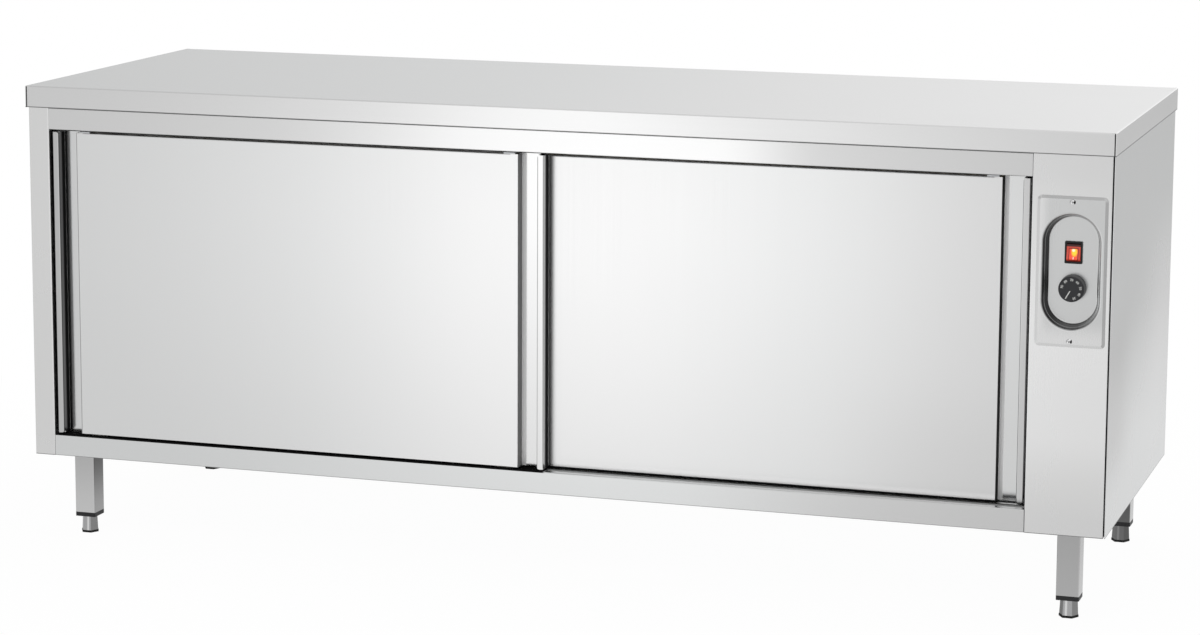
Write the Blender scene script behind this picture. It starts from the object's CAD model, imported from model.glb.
import math

import bpy
from mathutils import Matrix, Vector


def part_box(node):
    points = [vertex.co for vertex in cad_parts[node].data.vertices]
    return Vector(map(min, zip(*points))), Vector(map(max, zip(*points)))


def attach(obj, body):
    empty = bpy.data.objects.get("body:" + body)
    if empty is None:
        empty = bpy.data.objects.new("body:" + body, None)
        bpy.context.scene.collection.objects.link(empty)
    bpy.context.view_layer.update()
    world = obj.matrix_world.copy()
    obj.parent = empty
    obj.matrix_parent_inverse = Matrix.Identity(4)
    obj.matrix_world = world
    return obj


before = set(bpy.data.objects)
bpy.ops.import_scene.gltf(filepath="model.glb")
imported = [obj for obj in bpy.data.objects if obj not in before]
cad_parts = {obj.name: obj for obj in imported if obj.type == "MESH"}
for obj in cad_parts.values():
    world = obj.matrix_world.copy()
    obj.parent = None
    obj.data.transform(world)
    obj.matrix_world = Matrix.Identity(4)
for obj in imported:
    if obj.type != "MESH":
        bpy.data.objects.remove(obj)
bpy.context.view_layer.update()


# ---- Studio -------------------------------------------------------------------------------------
# The cabinet stands on a white studio floor in front of nothing but white light. One wide soft box
# hangs over its front, a second one stands to the right, and the white room fills in the rest.

camera = bpy.data.objects.new("camera", bpy.data.cameras.new("camera"))
bpy.context.scene.collection.objects.link(camera)
bpy.context.scene.camera = camera
bpy.context.scene.view_settings.view_transform = "Standard"

# It looks from where the corners of the worktop, body and legs fall as they do in the photograph
eye = (1.8654, -5.8522, 1.5531)
yaw, pitch, roll = 0.3096, 0.1566, -0.0051
frame_width, frame_height = 1200, 635
focal_pixels, axis_row = 3362.3, 230
forward = Vector((-math.sin(yaw) * math.cos(pitch), math.cos(yaw) * math.cos(pitch), -math.sin(pitch)))
level = Vector((math.cos(yaw), math.sin(yaw), 0))
down = forward.cross(level)
right = math.cos(roll) * level + math.sin(roll) * down
down = forward.cross(right)
camera.matrix_world = Matrix.Translation(eye) @ Matrix(
    (right, -down, -forward)).transposed().to_4x4()
camera.data.sensor_width = 36
camera.data.lens = focal_pixels * camera.data.sensor_width / frame_width
camera.data.shift_y = -(frame_height / 2 - axis_row) / frame_width
camera.data.clip_start = 0.05
camera.data.clip_end = 100


class Field:
    """A value that varies over a surface. Sums and products of fields add the maths nodes they need."""

    def __init__(self, finish, socket):
        self.finish, self.socket = finish, socket

    def maths(self, operation, first, second=0.0):
        return self.finish.node("Math", {"operation": operation}, {0: first, 1: second})

    def __add__(self, other): return self.maths("ADD", self, other)
    def __radd__(self, other): return self.maths("ADD", other, self)
    def __sub__(self, other): return self.maths("SUBTRACT", self, other)
    def __rsub__(self, other): return self.maths("SUBTRACT", other, self)
    def __mul__(self, other): return self.maths("MULTIPLY", self, other)
    def __rmul__(self, other): return self.maths("MULTIPLY", other, self)
    def __truediv__(self, other): return self.maths("DIVIDE", self, other)
    def __pow__(self, other): return self.maths("POWER", self, other)
    def __gt__(self, other): return self.maths("GREATER_THAN", self, other)
    def __lt__(self, other): return self.maths("LESS_THAN", self, other)
    def __neg__(self): return self.maths("MULTIPLY", self, -1.0)
    def __abs__(self): return self.maths("ABSOLUTE", self)


class Finish:
    """A surface finish: one material with its main shader and the fields that vary it."""

    def __init__(self, name, constants):
        self.material = bpy.data.materials.new(name)
        self.material.use_nodes = True
        self.tree = self.material.node_tree
        self.shader = self.tree.nodes["Principled BSDF"]
        self.tint, self.shine = None, constants.get("Metallic", 0.0)
        for socket, value in constants.items():
            self.shader.inputs[socket].default_value = value

    def node(self, kind, settings=None, inputs=None, out=0):
        made = self.tree.nodes.new("ShaderNode" + kind)
        for name, value in (settings or {}).items():
            if name == "stops":
                ramp = made.color_ramp
                while len(ramp.elements) < len(value):
                    ramp.elements.new(0.5)
                for element, (place, colour) in zip(ramp.elements, value):
                    element.position, element.color = place, (*colour, 1)
            else:
                setattr(made, name, value)
        for name, value in (inputs or {}).items():
            self.feed(made.inputs[name], value)
        return Field(self, made.outputs[out])

    def feed(self, socket, value):
        if isinstance(value, Field):
            self.tree.links.new(value.socket, socket)
        elif socket.type == "RGBA" and len(value) == 3:
            socket.default_value = (*value, 1)
        else:
            socket.default_value = value

    def vary(self, **fields):
        for name, value in fields.items():
            self.feed(self.shader.inputs[name.replace("_", " ")], value)
        return self

    def place(self, axis=None):
        """The point on the piece, in metres, or one of its coordinates."""
        at = self.node("TexCoord", out="Object")
        return at if axis is None else self.node("SeparateXYZ", {}, {0: at}, out=axis)

    def facing(self, axis):
        """How squarely the surface faces along an axis, from -1 to 1."""
        return self.node("SeparateXYZ", {}, {0: self.node("TexCoord", out="Normal")}, out=axis)

    def rise(self, value, start, end):
        """A smooth step from 0 to 1 while value goes from start to end."""
        return self.node("MapRange", {"interpolation_type": "SMOOTHSTEP"}, {
            "Value": value, "From Min": start, "From Max": end})

    def fall(self, value, start, end):
        """A smooth step from 1 to 0 while value goes from start to end."""
        return 1.0 - self.rise(value, start, end)

    def ramp(self, value, start, end, low=0.0, high=1.0):
        """A straight slope from low to high while value goes from start to end."""
        return self.node("MapRange", {}, {
            "Value": value, "From Min": start, "From Max": end, "To Min": low, "To Max": high})

    def noise(self, scale, stretch=(1, 1, 1), detail=3.0, roughness=0.5, distortion=0.0):
        """Noise from 0 to 1 with about scale features a metre, times stretch along each axis."""
        at = self.node("Mapping", {}, {"Vector": self.place(), "Scale": stretch})
        return self.node("TexNoise", {}, {"Vector": at, "Scale": scale, "Detail": detail,
                                          "Roughness": roughness, "Distortion": distortion})

    def blend(self, mask, first, second):
        """The first colour where mask is 0 and the second where it is 1."""
        return self.node("Mix", {"data_type": "RGBA"}, {0: mask, 6: first, 7: second}, out=2)

    def bump(self, height, depth):
        """A surface raised by height times depth, in metres."""
        return self.node("Bump", {}, {"Strength": 1.0, "Distance": depth, "Height": height})


floor_mesh = bpy.data.meshes.new("studio_floor")
far_edge = 30
floor_mesh.from_pydata([(-far_edge, -far_edge, 0), (far_edge, -far_edge, 0),
                        (far_edge, far_edge, 0), (-far_edge, far_edge, 0)], [], [(0, 1, 2, 3)])
floor = bpy.data.objects.new("studio_floor", floor_mesh)
bpy.context.scene.collection.objects.link(floor)

paper = Finish("floor_paper", {"Base Color": (0.90, 0.90, 0.90, 1), "Roughness": 0.9,
                               "Specular IOR Level": 0.1})
paper.material.cycles.emission_sampling = "NONE"
# Round the cabinet the camera sees a little of its shadow, and further out plain white
distance = paper.node("VectorMath", {"operation": "LENGTH"}, {0: paper.place()}, out=1)
seen = paper.node("LightPath", out="Is Camera Ray")
white = paper.node("Emission", {}, {"Color": (1, 1, 1, 1), "Strength": 1.0})
cover = paper.ramp(distance, 1.0, 2.0, 0.97)
shaded = Field(paper, paper.shader.outputs[0])
surface = paper.node("MixShader", {}, {0: cover * seen, 1: shaded, 2: white})
# In a mirror the lit strip of paper runs from the cabinet to the camera and fades to both sides
aside, ahead = paper.place("X"), -paper.place("Y")
strip_slope, strip_middle = 0.3235, 0.237
reach = paper.ramp(ahead, 1.0, 4.5, 1.05, 2.0)
strip = paper.fall(abs(aside + ahead * strip_slope - strip_middle) / reach, 0.0, 1.0)
gain = paper.ramp(ahead, 0.4, 2.7, 0.10, 0.42)
far = paper.ramp(ahead, 2.7, 4.6, 0.0, 0.20)
behind = paper.ramp(ahead, -2.8, -1.3, 0.53, 0.78)
front = paper.ramp(ahead, -1.0, 0.8)
base = behind + (0.74 - behind) * front
lit = paper.node("Emission", {}, {"Color": (1, 1, 1, 1), "Strength": base + strip * (gain + far)})
mirrored = paper.node("LightPath", out="Is Glossy Ray")
surface = paper.node("MixShader", {}, {0: mirrored, 1: surface, 2: lit})
paper.tree.links.new(surface.socket, paper.tree.nodes["Material Output"].inputs[0])
floor_mesh.materials.append(paper.material)

world = bpy.data.worlds.new("white_room")
world.use_nodes = True
bpy.context.scene.world = world
room = world.node_tree
room.nodes.remove(room.nodes["Background"])
path = room.nodes.new("ShaderNodeLightPath")


def white_light(strength):
    """Even white light from the whole room."""
    light = room.nodes.new("ShaderNodeBackground")
    light.inputs["Color"].default_value = (1, 1, 1, 1)
    light.inputs["Strength"].default_value = strength
    return light


def for_ray(kind, chosen, rest):
    """One light for one kind of ray, and another for the rest."""
    choice = room.nodes.new("ShaderNodeMixShader")
    room.links.new(path.outputs[kind], choice.inputs[0])
    room.links.new(rest.outputs[0], choice.inputs[1])
    room.links.new(chosen.outputs[0], choice.inputs[2])
    return choice


# In a mirror the room is a little darker to the left than to the right
direction = room.nodes.new("ShaderNodeTexCoord")
across = room.nodes.new("ShaderNodeSeparateXYZ")
room.links.new(direction.outputs["Generated"], across.inputs[0])
brighter = room.nodes.new("ShaderNodeMapRange")
for name, value in (("From Min", -0.60), ("From Max", 0.05), ("To Min", 0.55), ("To Max", 1.05)):
    brighter.inputs[name].default_value = value
room.links.new(across.outputs["X"], brighter.inputs["Value"])
mirrored_room = white_light(1.0)
room.links.new(brighter.outputs[0], mirrored_room.inputs["Strength"])
room_light = for_ray("Is Glossy Ray", mirrored_room, white_light(0.50))
room_light = for_ray("Is Camera Ray", white_light(1.0), room_light)
room.links.new(room_light.outputs[0], room.nodes["World Output"].inputs[0])


def soft_box(name, place, target, size, power):
    """A flat white soft box that faces its target and that neither the camera nor a mirror sees."""
    lamp = bpy.data.lights.new(name, "AREA")
    lamp.shape, lamp.size, lamp.size_y, lamp.energy = "RECTANGLE", size[0], size[1], power
    box = bpy.data.objects.new(name, lamp)
    bpy.context.scene.collection.objects.link(box)
    turn = (Vector(target) - Vector(place)).to_track_quat("-Z", "Y")
    box.matrix_world = Matrix.Translation(place) @ turn.to_matrix().to_4x4()
    box.visible_camera = False
    box.visible_glossy = False


soft_box("front_box", (-0.9, -3.6, 3.4), (-0.2, 0, 0.5), (2.2, 1.8), 45)
soft_box("top_box", (0.6, 0.6, 4.2), (0.3, 0.2, 0.4), (3.4, 2.4), 60)
soft_box("right_box", (5.2, -1.6, 2.4), (0.8, -0.2, 0.5), (2.4, 2.0), 30)


# ---- Body sheets --------------------------------------------------------------------------------
# The outer sheets are satin stainless steel, ground along their length, folded and spot-welded.
# Grinding leaves fine lines, and rolling a faint unevenness that shows in soft reflections.

def ground_steel(name, tone, roughness, along, lines=0.10, relief=0.000012):
    """Stainless sheet ground along one axis, the X, Y or Z of the cabinet."""
    stretch = [700.0, 700.0, 700.0]
    stretch["XYZ".index(along)] = 0.8
    steel = Finish(name, {"Metallic": 1.0, "Roughness": roughness})
    grain = steel.noise(1.0, stretch, detail=4.0, roughness=0.65)
    streak = steel.noise(0.12, stretch, detail=3.0)
    sheet = steel.noise(2.2, detail=2.0)
    steel.tint = steel.blend(streak * 0.3 + sheet * 0.7, [c * 0.98 for c in tone],
                             [min(1, c * 1.02) for c in tone])
    steel.rough = roughness + (grain - 0.5) * lines + (sheet - 0.5) * 0.05
    return steel.vary(
        Base_Color=steel.tint,
        Roughness=steel.rough,
        Normal=steel.bump(grain + sheet * 0.6, relief))


def shade(steel, mask, tone):
    """Takes a sheet's tint to another tone where mask is 1, as in a seam or a narrow channel."""
    steel.tint = steel.blend(mask, steel.tint, (tone, tone, tone))
    steel.vary(Base_Color=steel.tint)


def blacken(steel, mask, tone=0.01):
    """Shades a spot that no light reaches, which mirrors nothing even at a glancing angle."""
    shade(steel, mask, tone)
    steel.shine = steel.shine * (1.0 - mask)
    steel.shader.inputs["Specular IOR Level"].default_value = 0.0
    steel.vary(Metallic=steel.shine)


def dress(finish, *nodes):
    """Gives CAD nodes their finish."""
    for node in nodes:
        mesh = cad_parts[node].data
        mesh.materials.clear()
        mesh.materials.append(finish.material)


post_steel = ground_steel("post_steel", (0.80, 0.80, 0.797), 0.27, "Z", lines=0.003, relief=0.0000015)
side_steel = ground_steel("side_steel", (0.80, 0.81, 0.81), 0.27, "Z", lines=0.003, relief=0.0000015)
back_steel = ground_steel("back_steel", (0.775, 0.785, 0.785), 0.28, "X", lines=0.006, relief=0.000002)
rail_steel = ground_steel("rail_steel", (0.765, 0.775, 0.775), 0.26, "X", lines=0.006, relief=0.000002)

# The column mirrors a darker room at its top and its foot, and the bright floor between them
column_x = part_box("column_front_panel")[0].x
on_column, up_body = post_steel.place("X") > column_x, post_steel.place("Z")
shade(post_steel, on_column * post_steel.rise(up_body, 0.70, 0.79), 0.745)
floor_image = post_steel.rise(up_body, 0.22, 0.34) * post_steel.fall(up_body, 0.50, 0.72)
shade(post_steel, on_column * floor_image, 0.893)
shade(post_steel, on_column * post_steel.fall(up_body, 0.18, 0.24), 0.77)

# The lower half of the side mirrors more light at the back and less next to the column
back_along, up_side = side_steel.place("Y"), side_steel.place("Z")
light_height = side_steel.fall(abs(up_side - 0.44), 0.0, 0.26)
shade(side_steel, side_steel.rise(back_along, -0.1, 0.3) * light_height, 0.99)
dark_height = side_steel.fall(abs(up_side - 0.39), 0.06, 0.19)
shade(side_steel, side_steel.fall(back_along, -0.28, -0.02) * dark_height, 0.645)

# The rails are bent a little hollow, so their middle mirrors more of the bright floor
rail_low, rail_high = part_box("bottom_front_rail")
beside, up_rail = rail_steel.place("X"), rail_steel.place("Z")
at_top = up_rail > 0.5
shade(rail_steel, at_top, 0.725)
shade(rail_steel, rail_steel.rise(beside, 0.2, 0.65), 0.665)
middle = rail_steel.fall(beside, 0.30, 0.51) * rail_steel.fall(-beside, 0.05, 0.55)
shade(rail_steel, at_top * middle, 0.92)

# Under the doors the bend of the bottom rail lies in the dark, but for the free half of its front track
bend_r = 0.0018
into_track = rail_steel.place("Y") - rail_low.y
free_half = rail_steel.rise(beside, -0.003, 0.003) * rail_steel.fall(into_track, 0.012, 0.030)
blacken(rail_steel, (abs(up_rail - rail_high.z) < bend_r) * (1.0 - free_half))

# A dark line runs along the bottom fold all round, and in the joints of the bottom rail
body_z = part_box("left_side_panel")[0].z
fold_line, joint_line, line_tone, joint_tone = 0.0013, 0.0009, 0.28, 0.40
for sheet_steel in (post_steel, side_steel, back_steel, rail_steel):
    shade(sheet_steel, sheet_steel.place("Z") < body_z + fold_line, line_tone)
rail_middle, rail_end = (rail_low.x + rail_high.x) / 2, (rail_high.x - rail_low.x) / 2 - joint_line
shade(rail_steel, (abs(beside - rail_middle) > rail_end) * (up_rail < rail_high.z), joint_tone)
dress(post_steel, "left_side_panel", "column_front_panel")
dress(rail_steel, "top_front_rail", "bottom_front_rail")
dress(back_steel, "back_panel")
dress(side_steel, "right_side_panel")


# Blind rivets hold the back panel to the flanges of the sides and the base
back_low, back_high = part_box("back_panel")
rivet_inset, rivet_pitch, rivet_r, rivet_rise = 0.010, 0.095, 0.0032, 0.0011
rivet_lines = bpy.data.meshes.new("rivet_lines")
rivet_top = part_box("worktop")[0].z - rivet_inset
rivet_lines.from_pydata(
    [(x, back_high.y, z) for x in (back_low.x + rivet_inset, back_high.x - rivet_inset)
     for z in (back_low.z + rivet_inset, rivet_top)], [(0, 1), (2, 3), (0, 2)], [])
rivets = bpy.data.objects.new("back_rivets", rivet_lines)
bpy.context.scene.collection.objects.link(rivets)


def plain_mesh(piece):
    """A new mesh of a piece as its modifier or its text leaves it."""
    bpy.context.view_layer.update()
    finished = piece.evaluated_get(bpy.context.evaluated_depsgraph_get())
    return bpy.data.meshes.new_from_object(finished)


class Tree:
    """A Geometry Nodes tree on one object, with named inputs for its sizes."""

    def __init__(self, name, **sizes):
        self.tree = bpy.data.node_groups.new(name, "GeometryNodeTree")
        self.tree.interface.new_socket("Geometry", in_out="INPUT", socket_type="NodeSocketGeometry")
        self.tree.interface.new_socket("Geometry", in_out="OUTPUT", socket_type="NodeSocketGeometry")
        self.sizes = sizes
        for size in sizes:
            self.tree.interface.new_socket(size, in_out="INPUT", socket_type="NodeSocketFloat")
        self.given = self.tree.nodes.new("NodeGroupInput").outputs

    def node(self, kind, settings=None, inputs=None, out=0):
        made = self.tree.nodes.new(kind)
        for name, value in (settings or {}).items():
            setattr(made, name, value)
        for name, value in (inputs or {}).items():
            if isinstance(value, bpy.types.NodeSocket):
                self.tree.links.new(value, made.inputs[name])
            else:
                made.inputs[name].default_value = value
        return made.outputs[out]

    def make(self, piece, geometry, finish):
        """Ends the tree, runs it on the piece and leaves the piece with a plain mesh."""
        real = self.node("GeometryNodeRealizeInstances", {}, {0: geometry})
        dressed = self.node("GeometryNodeSetMaterial", {}, {
            "Geometry": real, "Material": finish.material})
        self.tree.links.new(dressed, self.tree.nodes.new("NodeGroupOutput").inputs[0])
        modifier = piece.modifiers.new("pattern", "NODES")
        modifier.node_group = self.tree
        for item in self.tree.interface.items_tree:
            if item.name in self.sizes:
                modifier[item.identifier] = self.sizes[item.name]
        mesh = plain_mesh(piece)
        mesh.name = piece.name
        piece.modifiers.remove(modifier)
        piece.data = mesh


rivet_steel = Finish("rivet_steel", {"Metallic": 1.0})
dimple = rivet_steel.noise(600.0, detail=3.0)
rivet_steel.vary(Base_Color=rivet_steel.blend(dimple, (0.58, 0.58, 0.59), (0.74, 0.74, 0.75)),
                 Roughness=0.24 + dimple * 0.16, Normal=rivet_steel.bump(dimple, 0.00003))
pattern = Tree("rivet_rows", Pitch=rivet_pitch, Radius=rivet_r, Rise=rivet_rise)
rows = pattern.node("GeometryNodeResampleCurve", {"mode": "LENGTH"}, {
    "Curve": pattern.node("GeometryNodeMeshToCurve", {}, {"Mesh": pattern.given[0]}),
    "Length": pattern.given["Pitch"]})
domed = pattern.node("ShaderNodeCombineXYZ", {}, {
    0: pattern.given["Radius"], 1: pattern.given["Rise"], 2: pattern.given["Radius"]})
ball = pattern.node("GeometryNodeMeshUVSphere", {}, {"Segments": 16, "Rings": 8, "Radius": 1.0})
head = pattern.node("GeometryNodeTransform", {}, {"Geometry": ball, "Scale": domed})
heads = pattern.node("GeometryNodeInstanceOnPoints", {}, {"Points": rows, "Instance": head})
pattern.make(rivets, heads, rivet_steel)
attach(rivets, "cabinet")


# ---- Legs and feet ------------------------------------------------------------------------------
# Square stainless tubes welded to plates. A black plastic insert closes each one and takes the
# screw of a bright hexagonal foot on a rubber sole.

leg_steel = ground_steel("leg_steel", (0.66, 0.66, 0.66), 0.30, "Z", lines=0.05, relief=0.000004)
# They darken towards the body, most on the faces that look in under it
leg_low, leg_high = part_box("leg_tubes")
under = leg_steel.rise(leg_steel.place("Z"), leg_low.z, leg_high.z)
outward = leg_steel.facing("X") * leg_steel.place("X") / leg_high.x
backward = leg_steel.facing("Y") * leg_steel.place("Y") / leg_high.y
right_pair = leg_steel.rise(leg_steel.place("X"), -0.5, 0.5)
shade(leg_steel, right_pair * (1.0 - abs(outward)), 0.50)
shade(leg_steel, under * 0.5, 0.42)
shade(leg_steel, leg_steel.rise(-outward, 0.3, 0.8) * (0.45 + under * 0.5), 0.08)
shade(leg_steel, leg_steel.rise(-backward, 0.3, 0.8) * (0.8 + under * 0.2), 0.05)
dress(leg_steel, "leg_tubes")

zinc = Finish("zinc_coat", {"Metallic": 0.85})
spangle = zinc.node("TexVoronoi", {"feature": "F1"}, {"Vector": zinc.place(), "Scale": 90.0},
                    out="Color")
dull = zinc.noise(25.0, detail=4.0)
flake = zinc.node("SeparateColor", {}, {0: spangle}, out=0)
zinc.vary(Base_Color=zinc.blend(flake * 0.6 + dull * 0.4, (0.50, 0.52, 0.54), (0.66, 0.68, 0.70)),
          Roughness=0.36 + flake * 0.12 + dull * 0.1,
          Normal=zinc.bump(dull, 0.00002))
dress(zinc, "leg_bolts", "base_pan", "hat_sections", "fan_housing")

insert_plastic = Finish("insert_plastic", {"Specular IOR Level": 0.4})
pores = insert_plastic.noise(2500.0, detail=2.0)
cloud = insert_plastic.noise(60.0)
insert_black = insert_plastic.blend(cloud, (0.008, 0.008, 0.009), (0.016, 0.016, 0.018))
insert_plastic.vary(Base_Color=insert_black, Roughness=0.42 + pores * 0.15,
                    Normal=insert_plastic.bump(pores, 0.00005))
dress(insert_plastic, "leg_inserts", "cable_gland")

foot_chrome = Finish("foot_chrome", {"Metallic": 1.0})
wear = foot_chrome.noise(60.0, (1, 1, 0.3), detail=5.0)
# The screw over the hexagon carries a rolled thread
hexagon_top, half_pitch = 0.0322, 0.00075
height = foot_chrome.place("Z")
on_screw = height > hexagon_top
thread = foot_chrome.node("Math", {"operation": "PINGPONG"}, {0: height, 1: half_pitch}) / half_pitch
foot_chrome.tint = foot_chrome.blend(wear, (0.40, 0.40, 0.405), (0.50, 0.50, 0.505))
foot_chrome.vary(Roughness=0.13 + wear * 0.12,
                 Normal=foot_chrome.bump(thread * on_screw + wear * 0.03, 0.0006))
# Each flat mirrors another part of the room, and the front one a bright streak of it
foot_low, foot_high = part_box("foot_front_right")
to_right = foot_chrome.facing("X")
right_pair = foot_chrome.rise(foot_chrome.place("X"), -0.5, 0.5)
back_pair = foot_chrome.rise(foot_chrome.place("Y"), -0.1, 0.1)
shade(foot_chrome, foot_chrome.rise(to_right, 0.25, 0.7), 0.27)
shade(foot_chrome, foot_chrome.rise(-to_right, 0.25, 0.7) * (0.25 + right_pair * 0.75), 0.12)
from_axis = abs(foot_chrome.place("X")) - (foot_low.x + foot_high.x) / 2
streak_at, streak_half = 0.0025, (0.0006, 0.003)
shade(foot_chrome, foot_chrome.fall(abs(from_axis + streak_at), *streak_half), 0.80)
shade(foot_chrome, back_pair * 0.75, 0.07)
dress(foot_chrome, "foot_front_left", "foot_front_right", "foot_back_left", "foot_back_right")

sole_rubber = Finish("sole_rubber", {"Specular IOR Level": 0.3})
dust = sole_rubber.noise(300.0, detail=4.0)
sole_rubber.vary(Base_Color=sole_rubber.blend(dust ** 3, (0.006, 0.006, 0.006), (0.035, 0.034, 0.033)),
                 Roughness=0.70 + dust * 0.2,
                 Normal=sole_rubber.bump(dust, 0.0001))
dress(sole_rubber, "sole_front_left", "sole_front_right", "sole_back_left", "sole_back_right",
      "track_stops")


# ---- Chamber ------------------------------------------------------------------------------------
# Plain stainless liner, shelf and uprights, duller than the outside, round boards of mineral wool.

liner_steel = ground_steel("liner_steel", (0.66, 0.67, 0.67), 0.36, "X", lines=0.16)
shelf_steel = ground_steel("shelf_steel", (0.70, 0.71, 0.71), 0.33, "X", lines=0.14)
upright_steel = ground_steel("upright_steel", (0.66, 0.67, 0.67), 0.34, "Z", lines=0.14)
dress(liner_steel, "chamber_liner", "chamber_floor", "chamber_end_walls")
dress(shelf_steel, "shelf")
dress(upright_steel, "shelf_uprights", "shelf_clips")

wool = Finish("mineral_wool", {"Roughness": 0.95, "Specular IOR Level": 0.1})
fibre = wool.noise(220.0, (1, 1, 6), detail=8.0, roughness=0.8, distortion=1.5)
lump = wool.noise(30.0, detail=3.0)
wool.vary(Base_Color=wool.blend(fibre * 0.7 + lump * 0.3, (0.42, 0.33, 0.16), (0.80, 0.72, 0.46)),
          Normal=wool.bump(fibre, 0.0012))
dress(wool, "insulation_boards", "left_door_insulation", "right_door_insulation")


# ---- Doors and running gear ---------------------------------------------------------------------
# Two hollow steel doors hang from nylon rollers in zinc-plated tracks, and nylon shoes guide them at
# the bottom. A full-height grip channel is folded into each end of the front skin.

door_steel = ground_steel("door_steel", (0.80, 0.805, 0.805), 0.24, "Z", lines=0.06, relief=0.000008)
# The doors mirror the bright floor in the middle of the cabinet and less of it towards the right
door_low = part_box("left_door_front")[0]
beside, up_door = door_steel.place("X"), door_steel.place("Z")
to_right = door_steel.rise(beside, 0.45, 0.80)
shade(door_steel, to_right, 0.765)
shade(door_steel, to_right * door_steel.fall(up_door, 0.24, 0.45), 0.735)
shade(door_steel, door_steel.fall(abs(beside), 0.10, 0.50), 0.84)
# A fine line marks the left skin's edge, the right door's foot mirrors the sill, and the foot is dark
skin_line, foot_line, sill_image = 0.0014, 0.0010, (0.002, 0.014)
shade(door_steel, beside < door_low.x + skin_line, 0.40)
on_right_door = beside > -0.05
shade(door_steel, on_right_door * door_steel.fall(up_door - door_low.z, *sill_image), 0.95)
blacken(door_steel, up_door < door_low.z + foot_line)
dress(door_steel, "left_door_front", "left_door_back", "right_door_front", "right_door_back")

# In a grip the lip's inner wall sees only the channel, the other walls and the ends see little more.
# Places in it are told by how far they lie from the door's middle and from its front
lip_inside, panel_edge, edge_line, sheet_bend = 0.463, 0.427, 0.0010, 0.006
for side, lip_tone, wall_tone in (("left", 0.59, 0.30), ("right", 0.65, 0.06)):
    low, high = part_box(f"{side}_door_grips")
    grip_steel = ground_steel(f"{side}_grip_steel", (0.755, 0.76, 0.76), 0.14, "Z", lines=0.03,
                              relief=0.000004)
    beside, inward = grip_steel.place("X"), grip_steel.place("Y") - low.y
    off = abs(beside - (low.x + high.x) / 2)
    sideways = grip_steel.rise(abs(grip_steel.facing("X")), 0.2, 0.7)
    shade(grip_steel, grip_steel.fall(abs(beside), 0.10, 0.50), 0.785)
    shade(grip_steel, (off > lip_inside) * grip_steel.rise(abs(beside), 0.3, 0.8), lip_tone)
    shade(grip_steel, sideways, 0.10)
    door_end = sideways * (off > lip_inside + sheet_bend)
    shade(grip_steel, door_end, 0.55)
    shade(grip_steel, (1.0 - sideways) * (abs(off - panel_edge) < edge_line), 0.34)
    blacken(grip_steel, sideways * (off < panel_edge + 0.004), wall_tone)
    blacken(grip_steel, door_end * grip_steel.rise(inward, 0.004, 0.015), 0.02)
    lip_wall = sideways * (off > lip_inside - sheet_bend) * (off < lip_inside + 0.004)
    blacken(grip_steel, lip_wall * grip_steel.rise(inward, 0.008, 0.015), 0.014)
    # The bend at the foot of the panel's wall is dull, so it mirrors less of that wall
    bend = (1.0 - sideways) * (off > panel_edge) * grip_steel.fall(off - panel_edge, sheet_bend, 0.010)
    shade(grip_steel, bend, 0.98)
    grip_steel.vary(Roughness=grip_steel.rough + bend * 0.4)
    dress(grip_steel, f"{side}_door_grips")

plated = Finish("plated_track", {"Metallic": 1.0})
haze = plated.noise(40.0, (0.2, 1, 1), detail=4.0)
plated.vary(Base_Color=plated.blend(haze, (0.52, 0.53, 0.55), (0.68, 0.69, 0.70)),
            Roughness=0.30 + haze * 0.2, Normal=plated.bump(haze, 0.00003))
dress(plated, "door_tracks", "left_door_hangers", "right_door_hangers")

nylon = Finish("white_nylon", {"Roughness": 0.4, "Subsurface Weight": 0.15,
                               "Subsurface Radius": (0.002, 0.002, 0.0018)})
flow = nylon.noise(120.0, detail=3.0)
nylon.vary(Base_Color=nylon.blend(flow, (0.80, 0.79, 0.74), (0.88, 0.87, 0.83)),
           Roughness=0.36 + flow * 0.12, Normal=nylon.bump(flow, 0.00003))
dress(nylon, "left_door_shoes", "right_door_shoes", "left_door_rollers_left", "left_door_rollers_right",
      "right_door_rollers_left", "right_door_rollers_right")


# ---- Controls -----------------------------------------------------------------------------------
# A pressed steel plate is screwed on the column. In its recess sit a lit rocker switch in a black
# bezel and a black thermostat knob with printed numbers.

pressed_steel = ground_steel("pressed_steel", (0.66, 0.665, 0.665), 0.27, "Z", lines=0.008,
                             relief=0.000003)
plate_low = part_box("control_plate")[0]
# Its left and lower strips mirror the bright floor
left_strip, lower_strip = (0.004, 0.024), (0.010, 0.050)
shade(pressed_steel, pressed_steel.fall(pressed_steel.place("X") - plate_low.x, *left_strip), 0.79)
shade(pressed_steel, pressed_steel.fall(pressed_steel.place("Z") - plate_low.z, *lower_strip), 0.79)
# The sloping rim and the wall of the recess turn away from the bright floor, its left side most
slope = 1.0 + pressed_steel.facing("Y")
rim = pressed_steel.rise(slope, 0.02, 0.09)
wall = pressed_steel.rise(slope, 0.14, 0.5)
leftward, upward = pressed_steel.facing("X"), pressed_steel.facing("Z")
depth = pressed_steel.place("Y") - plate_low.y
ridge_from, ridge_at, ridge_to = 0.0075, 0.009, 0.011
ridge = pressed_steel.rise(depth, ridge_from, ridge_at) * pressed_steel.fall(depth, ridge_at, ridge_to)
rim_turned = pressed_steel.rise(leftward + upward * 0.4, 0.02, 0.14)
wall_turned = pressed_steel.rise(leftward * 0.9 + upward * 0.35, -0.9, 0.2)
shade(pressed_steel, rim * (0.12 + rim_turned * 0.88), 0.45)
shade(pressed_steel, wall * wall_turned * (1.0 - ridge * 0.8), 0.10)
shade(pressed_steel, wall * pressed_steel.rise(leftward, 0.2, 0.8) * (1.0 - ridge), 0.015)
dress(pressed_steel, "control_plate")

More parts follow.
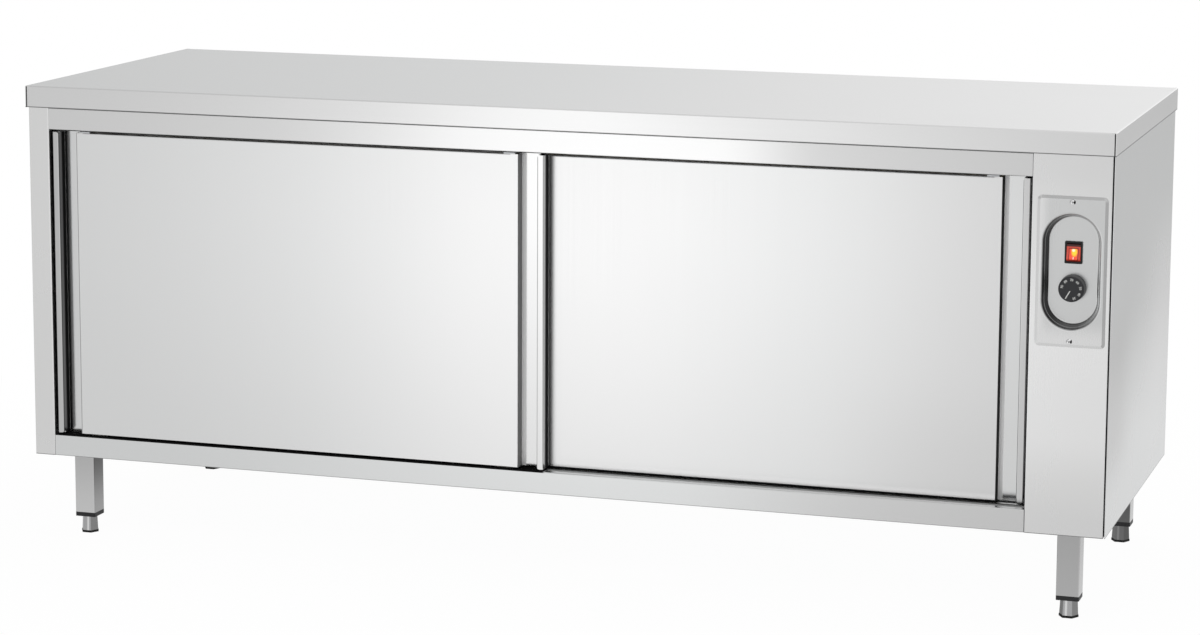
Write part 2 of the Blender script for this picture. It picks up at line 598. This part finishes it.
bright = Finish("bright_plate", {"Metallic": 1.0})
scuff = bright.noise(500.0, detail=4.0)
bright.vary(Base_Color=bright.blend(scuff, (0.74, 0.74, 0.75), (0.88, 0.88, 0.88)),
            Roughness=0.12 + scuff * 0.16, Normal=bright.bump(scuff, 0.00003))
dress(bright, "thermostat_shaft")

# The recess in the middle of each pan head is dark, and so is the side of the head that faces right
screw_low, screw_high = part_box("plate_screws")
head_r, recess_r, recess_floor = (screw_high.x - screw_low.x) / 2, 0.0029, 0.0004
screw_z = (screw_high.z - screw_low.z) / 2 - head_r
screw_steel = Finish("screw_steel", {"Metallic": 1.0})
nick = screw_steel.noise(900.0, detail=3.0)
across_x = screw_steel.place("X") - (screw_low.x + screw_high.x) / 2
across_z = abs(screw_steel.place("Z") - (screw_low.z + screw_high.z) / 2) - screw_z
from_middle = across_x * across_x + across_z * across_z
in_recess = (from_middle < recess_r ** 2) * (screw_steel.place("Y") > screw_low.y + recess_floor)
screw_steel.tint = screw_steel.blend(nick, (0.80, 0.80, 0.81), (0.95, 0.95, 0.95))
screw_steel.vary(Roughness=0.10 + nick * 0.14, Normal=screw_steel.bump(nick, 0.00002))
shade(screw_steel, screw_steel.rise(-across_x, 0.0033, 0.0043), 0.12)
shade(screw_steel, in_recess, 0.05)
blacken(screw_steel, screw_steel.rise(across_x - abs(across_z) * 0.5, 0.0008, 0.0020))
dress(screw_steel, "plate_screws")

switch_black = Finish("switch_black", {"Specular IOR Level": 0.3})
spark = switch_black.noise(3500.0, detail=2.0)
switch_black.vary(Base_Color=switch_black.blend(spark, (0.005, 0.005, 0.006), (0.011, 0.011, 0.012)),
                  Roughness=0.30 + spark * 0.15, Normal=switch_black.bump(spark, 0.00003))
dress(switch_black, "switch_body")

# The rocker is clear red plastic with a lamp behind its middle, marked I for on; its upper end is
# pressed in behind the bezel and stays dark
switch_centre = (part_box("switch_body")[0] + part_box("switch_body")[1]) / 2
lens = Finish("rocker_lens", {"Roughness": 0.22, "Specular IOR Level": 0.5, "Emission Strength": 1.0})
side = lens.place("X") - switch_centre.x
up = lens.place("Z") - switch_centre.z
# A moulded line frames the lit window; the lamp stands in its upper right
half_width, half_height, window_drop = 0.0078, 0.0102, 0.0030
window = lens.node("Math", {"operation": "MAXIMUM"}, {
    0: abs(side) / half_width, 1: abs(up + window_drop) / half_height})
frame_line = lens.rise(window, 0.86, 0.93) * lens.fall(window, 1.00, 1.10)
inside = lens.fall(window, 0.86, 0.93)
from_lamp = (side - 0.0014) ** 2.0 * 1.3 + (up - 0.0010) ** 2.0 * 0.55
from_core = (side + 0.0002) ** 2.0 * 0.8 + (up - 0.0036) ** 2.0
glow = lens.fall(from_lamp, 0.000004, 0.000050) * inside
core = lens.fall(from_core, 0.0, 0.000010) * inside
on_mark = (abs(side) < 0.0006) * (abs(up + 0.0092) < 0.0018)
pressed_in = lens.rise(up, 0.0092, 0.0108)
lit = lens.blend(core, lens.blend(glow, (0.62, 0.055, 0.028), (1.0, 0.68, 0.02)), (1.0, 0.95, 0.70))
lit = lens.blend(inside, (0.26, 0.028, 0.018), lens.blend(on_mark, lit, (0.95, 0.90, 0.80)))
plastic_red = lens.blend(frame_line, (0.42, 0.05, 0.03), (0.10, 0.018, 0.012))
lit = lens.blend(frame_line, lit, (0.10, 0.010, 0.008))
lens.vary(Base_Color=lens.blend(pressed_in, plastic_red, (0.05, 0.006, 0.005)),
          Emission_Color=lens.blend(pressed_in, lit, (0.004, 0.001, 0.001)),
          Normal=lens.bump(frame_line, -0.0002))
dress(lens, "switch_rocker")

knob_low, knob_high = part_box("thermostat_knob")
knob_centre = (knob_low + knob_high) / 2
knob_face = knob_low.y + 0.0005

# The pointer's groove is filled with the numbers' pale paint
pointer, line_half, line_from, line_to, line_depth = math.radians(210), 0.0008, 0.0035, 0.0187, 0.0012
knob_plastic = Finish("knob_plastic", {"Specular IOR Level": 0.35})
skin = knob_plastic.noise(2200.0, detail=2.0)
from_x = knob_plastic.place("X") - knob_centre.x
from_z = knob_plastic.place("Z") - knob_centre.z
along = from_x * math.sin(pointer) + from_z * math.cos(pointer)
off_line = abs(from_x * math.cos(pointer) - from_z * math.sin(pointer))
painted = (off_line < line_half) * (along > line_from) * (along < line_to) * (
    knob_plastic.place("Y") < knob_face + line_depth)
knob_black = knob_plastic.blend(skin, (0.018, 0.018, 0.020), (0.032, 0.032, 0.035))
knob_plastic.vary(Base_Color=knob_plastic.blend(painted, knob_black, (0.78, 0.78, 0.76)),
                  Roughness=0.36 + skin * 0.15, Normal=knob_plastic.bump(skin, 0.00004))
dress(knob_plastic, "thermostat_knob")


def printed(name, shape, ink, body):
    """Turns a text into a thin printed mesh that stands in place and moves with its body."""
    mesh = plain_mesh(shape)
    mesh.transform(shape.matrix_world)
    mesh.name = name
    bpy.data.objects.remove(shape)
    mesh.materials.clear()
    mesh.materials.append(ink.material)
    piece = bpy.data.objects.new(name, mesh)
    bpy.context.scene.collection.objects.link(piece)
    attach(piece, body)


ink = Finish("pale_ink", {"Roughness": 0.55})
thin = ink.noise(4000.0, detail=2.0)
ink.vary(Base_Color=ink.blend(thin, (0.62, 0.62, 0.60), (0.80, 0.80, 0.78)), Roughness=0.5 + thin * 0.2)

# Seven numbers run round the face against the clock; each stands upright when it is at the top
numbers_r, lowest_at, step_turn, coldest, step_heat = 0.0158, 159, 39.2, 30, 10
for step in range(7):
    turned = math.radians(lowest_at - step_turn * step)
    text = bpy.data.curves.new("number", "FONT")
    text.body = str(coldest + step_heat * step)
    text.align_x, text.align_y = "CENTER", "CENTER"
    text.size, text.extrude, text.offset = 0.0058, 0.00008, 0.00004
    text.resolution_u = 3
    number = bpy.data.objects.new("number", text)
    bpy.context.scene.collection.objects.link(number)
    number.matrix_world = (
        Matrix.Translation((knob_centre.x + numbers_r * math.sin(turned), knob_face - 0.00005,
                            knob_centre.z + numbers_r * math.cos(turned)))
        @ Matrix.Rotation(turned, 4, "Y") @ Matrix.Rotation(math.pi / 2, 4, "X"))
    printed(f"dial_number_{text.body}", number, ink, "knob")


# ---- Heater and wiring --------------------------------------------------------------------------
# Behind the column's front sit the thermostat, a fan with a ring heater, and sleeved leads.

device = Finish("device_plastic", {"Specular IOR Level": 0.4})
speck = device.noise(700.0, detail=3.0)
device.vary(Base_Color=device.blend(speck, (0.62, 0.58, 0.50), (0.74, 0.71, 0.63)),
            Roughness=0.45 + speck * 0.15, Normal=device.bump(speck, 0.00005))
dress(device, "thermostat_body", "terminal_block")

copper = Finish("drawn_copper", {"Metallic": 1.0})
tarnish = copper.noise(80.0, detail=5.0)
copper.vary(Base_Color=copper.blend(tarnish, (0.42, 0.22, 0.12), (0.80, 0.46, 0.30)),
            Roughness=0.25 + tarnish * 0.2)
dress(copper, "thermostat_capillary")

motor_paint = Finish("motor_paint", {"Metallic": 0.3})
cast = motor_paint.noise(350.0, detail=4.0)
motor_paint.vary(Base_Color=motor_paint.blend(cast, (0.22, 0.23, 0.24), (0.34, 0.35, 0.37)),
                 Roughness=0.45 + cast * 0.2, Normal=motor_paint.bump(cast, 0.0002))
dress(motor_paint, "fan_motor")
dress(plated, "fan_impeller")

sheath = Finish("heater_sheath", {"Metallic": 1.0})
heat = sheath.noise(45.0, detail=4.0)
sheath.vary(Base_Color=sheath.node("ValToRGB", {"stops": [
    (0.30, (0.16, 0.12, 0.09)), (0.55, (0.30, 0.24, 0.20)), (0.75, (0.22, 0.23, 0.30))]}, {0: heat}),
    Roughness=0.38 + heat * 0.2, Normal=sheath.bump(heat, 0.00008))
dress(sheath, "heating_element")

sleeve = Finish("lead_sleeve", {"Specular IOR Level": 0.3})
braid = sleeve.noise(900.0, detail=3.0)
sleeve.vary(Base_Color=sleeve.blend(braid, (0.03, 0.03, 0.032), (0.07, 0.07, 0.072)),
            Roughness=0.6 + braid * 0.2, Normal=sleeve.bump(braid, 0.0001))
dress(sleeve, "wiring_harness")


# ---- Worktop ------------------------------------------------------------------------------------
# One sheet folded down all round, its corners left open by a fine slit, ground along its length.

top_steel = ground_steel("top_steel", (0.79, 0.80, 0.80), 0.22, "X", lines=0.06, relief=0.000006)
# It is darker to the right and on its front edge, where the middle mirrors the bright floor
skirt = top_steel.rise(-top_steel.facing("Y"), 0.3, 0.8)
middle = top_steel.fall(abs(top_steel.place("X") - 0.02), 0.0, 0.45)
shade(top_steel, top_steel.rise(top_steel.place("X"), -0.2, 0.4), 0.83)
shade(top_steel, skirt, 0.745)
shade(top_steel, skirt * middle, 0.83)
# A dark line runs along the foot of the edge, where the sheet turns in
skirt_z, turn_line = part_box("worktop")[0].z, (0.0006, 0.0026)
line_from, line_to = (skirt_z + rise for rise in turn_line)
shade(top_steel, top_steel.fall(top_steel.place("Z"), line_from, line_to), 0.10)
dress(top_steel, "worktop")
